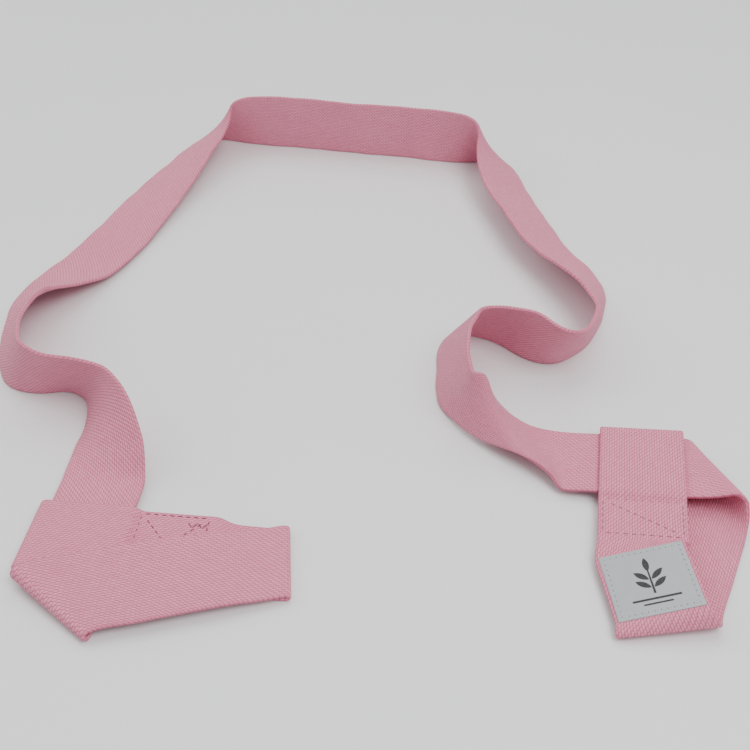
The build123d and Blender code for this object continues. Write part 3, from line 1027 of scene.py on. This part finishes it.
@dataclass
class Label:
    """The woven patch on the right noose, sewn all round, with a plain printed sprig."""

    plan: Layout
    cloth: bpy.types.Material
    thread: bpy.types.Material
    ink: bpy.types.Material
    # Near-black finish painted as the shade inside the needle holes.
    hole_shade: bpy.types.Material
    lift: float = 0.5
    rows: int = 24
    row_inset: float = 1.8
    leaf_length: float = 7.0
    leaf_width: float = 2.6

    def patch(self, z: float) -> Patch:
        """The label's plane at a height over the webbing."""
        plan = self.plan
        origin = plan.label_centre + plan.label_up * (plan.skin + z)
        return Patch(origin, plan.label_across, plan.label_along, plan.label_up)

    def sag(self, x: float, y: float) -> float:
        """How far the label is pulled down at a place by the row of stitches near its edge."""
        half_x, half_y = self.plan.label_size[0] / 2, self.plan.label_size[1] / 2
        inside = min(half_x - abs(x), half_y - abs(y))
        return -0.12 * math.exp(-(((inside - self.row_inset) / 0.8) ** 2))

    def panel(self) -> None:
        """Makes the cloth of the label: a thin slab with rounded edges, pulled in along its stitches."""
        half_x, half_y = self.plan.label_size[0] / 2, self.plan.label_size[1] / 2
        place = self.patch(0.0)
        count = self.rows
        shares = [0.5 - 0.5 * math.cos(math.pi * step / count) for step in range(count + 1)]
        points, faces, cloth = [], [], []
        for level in (0, 1):
            for row in shares:
                for column in shares:
                    x = (column * 2 - 1) * half_x
                    y = (row * 2 - 1) * half_y
                    edge = min(half_x - abs(x), half_y - abs(y))
                    top = self.lift * (0.55 + 0.45 * min(1.0, edge / 0.5)) + self.sag(x, y)
                    points.append(place.point(x, y, top if level else 0.0))
                    cloth.append(((x + half_x) * MM, (y + half_y) * MM))
        side = count + 1
        layer = side * side
        for row in range(count):
            for column in range(count):
                a = row * side + column
                faces.append((a, a + side, a + side + 1, a + 1))
                faces.append((layer + a, layer + a + 1, layer + a + side + 1, layer + a + side))
        rim = [column for column in range(count)]
        rim += [row * side + count for row in range(count)]
        rim += [count * side + column for column in range(count, 0, -1)]
        rim += [row * side for row in range(count, 0, -1)]
        for a, b in zip(rim, rim[1:] + rim[:1]):
            faces.append((a, b, layer + b, layer + a))
        piece = make_mesh("label_cloth", np.array(points) * MM, faces, np.array(cloth))
        piece.data.materials.append(self.cloth)
        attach(piece, Body.RIGHT.value)
        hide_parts("care_label")
        log.info("label_cloth: %.0f x %.0f mm", *self.plan.label_size)

    def leaf(self, foot: tuple[float, float], angle: float) -> list[tuple[float, float]]:
        """The outline of a pointed leaf from its foot."""
        a = math.radians(angle)
        steps = 10
        made = []
        for side in (-1, 1):
            for step in range(steps):
                share = step / steps if side < 0 else 1 - step / steps
                reach = self.leaf_length * share
                bulge = side * self.leaf_width / 2 * math.sin(math.pi * share) ** 0.8
                x = foot[0] + reach * math.cos(a) - bulge * math.sin(a)
                y = foot[1] + reach * math.sin(a) + bulge * math.cos(a)
                made.append((x, y))
        return made[:-1] if made[-1] == made[0] else made

    def bar(self, x: float, y: float, wide: float, high: float) -> list[tuple[float, float]]:
        """The outline of a bar with rounded ends."""
        made = []
        for side, start in ((1, -90), (-1, 90)):
            for step in range(7):
                a = math.radians(start + 30 * step)
                end_x = x + side * (wide - high) / 2
                made.append((end_x + high / 2 * math.cos(a), y + high / 2 * math.sin(a)))
        return made

    def print(self) -> None:
        """Makes the printed sprig with a plain bar under it."""
        place = self.patch(self.lift)
        shapes = [self.bar(0.0, -9.0, 20.0, 1.0), self.bar(0.0, -11.3, 12.0, 0.8), self.stem()]
        leaves = ((-1, -3.5, 145), (1, -3.5, 35), (-1, 0.5, 140), (1, 0.5, 40), (0, 4.5, 90))
        for side, height, angle in leaves:
            shapes.append(self.leaf((side * 0.55, height), angle))
        points, faces = [], []
        for shape in shapes:
            first = len(points)
            count = len(shape)
            for z in (-0.05, 0.05):
                points += [place.point(x, y, z) for x, y in shape]
            faces.append([first + index for index in range(count)][::-1])
            faces.append([first + count + index for index in range(count)])
            for index in range(count):
                ahead = (index + 1) % count
                faces.append((first + index, first + ahead, first + count + ahead, first + count + index))
        array = np.array(points)
        cloth = np.stack([array @ place.x, array @ place.y], 1) * MM
        piece = make_mesh("label_sprig", array * MM, faces, cloth)
        piece.data.polygons.foreach_set("use_smooth", [False] * len(piece.data.polygons))
        piece.data.materials.append(self.ink)
        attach(piece, Body.RIGHT.value)
        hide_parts("label_print")
        log.info("label_sprig: %d shapes", len(shapes))

    def stem(self) -> list[tuple[float, float]]:
        """The outline of the sprig's stem, thinner at its top."""
        return [(-0.5, -6.5), (0.5, -6.5), (0.3, 5.0), (-0.3, 5.0)]

    def make(self) -> None:
        """Makes the label with its thread, near-black marks painted as the shade in its needle holes, and
        print.
        """
        self.panel()
        self.print()
        seam = Seam(
            "label_seam", self.patch(self.lift - 0.1), self.thread, Body.RIGHT, "label_thread",
            ("label_stitching",), stitch=1.7, space=0.9, radius=0.2,
        )
        half_x = self.plan.label_size[0] / 2 - self.row_inset
        half_y = self.plan.label_size[1] / 2 - self.row_inset
        stitches = seam.box((-half_x, -half_y), (half_x, half_y), 0.2)
        seam.make(stitches)
        # Small near-black pieces beyond each stitch end paint the shade in the needle holes.
        holes = Seam(
            "label_needle_hole_shade", self.patch(self.lift - 0.1), self.hole_shade, Body.RIGHT, "label_thread", (),
            radius=0.26, rings=3,
        )
        dots = []
        for start, end in stitches:
            direction = (end - start) / np.linalg.norm(end - start)
            dots.append((end + direction * 0.22, end + direction * 0.72))
        holes.make(dots)


# --- Surroundings --------------------------------------------------------------------------------


@dataclass
class Studio:
    """Floor, lights and camera."""

    plan: Layout
    floor_size: float = 6.0
    eye: tuple[float, float, float] = (0.0, -419.5, 352.0)
    lens: float = 51.4

    def area(self, name: str, place: Vector, target: Vector, size: float, power: float) -> None:
        """Adds a square soft light that faces a target."""
        data = bpy.data.lights.new(name, "AREA")
        data.shape = "DISK"
        data.size = size
        data.energy = power
        lamp = bpy.data.objects.new(name, data)
        lamp.location = place
        lamp.rotation_euler = (target - place).to_track_quat("-Z", "Y").to_euler()
        bpy.context.scene.collection.objects.link(lamp)

    def make(self) -> None:
        """Makes the floor, the lights and the camera."""
        half = self.floor_size / 2
        points = np.array([(-half, -half, 0), (half, -half, 0), (half, half, 0), (-half, half, 0)])
        floor = make_mesh("floor", points, [(0, 1, 2, 3)], points[:, :2])
        floor.data.materials.append(PaleFloor().material())
        middle = Vector(self.plan.spot(0, 0, 0) * MM)
        self.area("key_light", middle + Vector((0.55, -0.55, 1.25)), middle, 0.9, 15.0)
        self.area("side_light", middle + Vector((-1.1, 0.5, 1.0)), middle, 1.4, 9.0)
        self.area("top_light", middle + Vector((0.1, 0.7, 1.5)), middle, 1.6, 12.0)
        world = bpy.data.worlds.new("studio")
        world.use_nodes = True
        back = world.node_tree.nodes["Background"]
        back.inputs["Color"].default_value = (1.0, 1.0, 1.0, 1.0)
        back.inputs["Strength"].default_value = 0.55
        bpy.context.scene.world = world
        data = bpy.data.cameras.new("camera")
        data.lens = self.lens
        data.clip_start = 0.01
        camera = bpy.data.objects.new("camera", data)
        camera.location = Vector(self.plan.spot(*self.eye) * MM)
        camera.rotation_euler = (middle - camera.location).to_track_quat("-Z", "Y").to_euler()
        bpy.context.scene.collection.objects.link(camera)
        bpy.context.scene.camera = camera


def main() -> None:
    """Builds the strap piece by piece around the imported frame."""
    logging.basicConfig(level=logging.INFO)
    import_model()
    plan = Layout()
    Studio(plan).make()
    thread = SewingThread("rose_thread", (0.13, 0.022, 0.05), (0.26, 0.06, 0.11)).material()
    mauve = SewingThread("mauve_thread", (0.26, 0.08, 0.15), (0.40, 0.15, 0.24)).material()
    pale_thread = SewingThread("pale_thread", (0.40, 0.44, 0.42), (0.56, 0.6, 0.58)).material()
    # Near-black finish painted as the shade inside the needle holes.
    hole_shade_finish = SewingThread("needle_hole_shade", (0.03, 0.032, 0.035), (0.05, 0.052, 0.056)).material()
    Webbing(plan, CottonWebbing().material()).make()
    surface = plan.seam + plan.skin - 0.05
    up = np.array([0.0, 0.0, 1.0])
    left = Patch(plan.left_centre + up * surface, plan.left_v, plan.left_u, up)
    right = Patch(plan.right_centre + plan.right_up * surface, plan.right_v, plan.right_u, plan.right_up)
    BoxStitch(
        "left_box_seam", left, plan.left_box, (1, -1), True, thread, Body.LEFT, "left_box_stitching"
    ).make(plan)
    BoxStitch(
        "right_box_seam", right, plan.right_box, (1,), False, mauve, Body.RIGHT, "right_box_stitching"
    ).make(plan)
    Label(plan, WovenLabel().material(), pale_thread, LabelPrint().material(), hole_shade_finish).make()


if __name__ == "__main__":
    main()
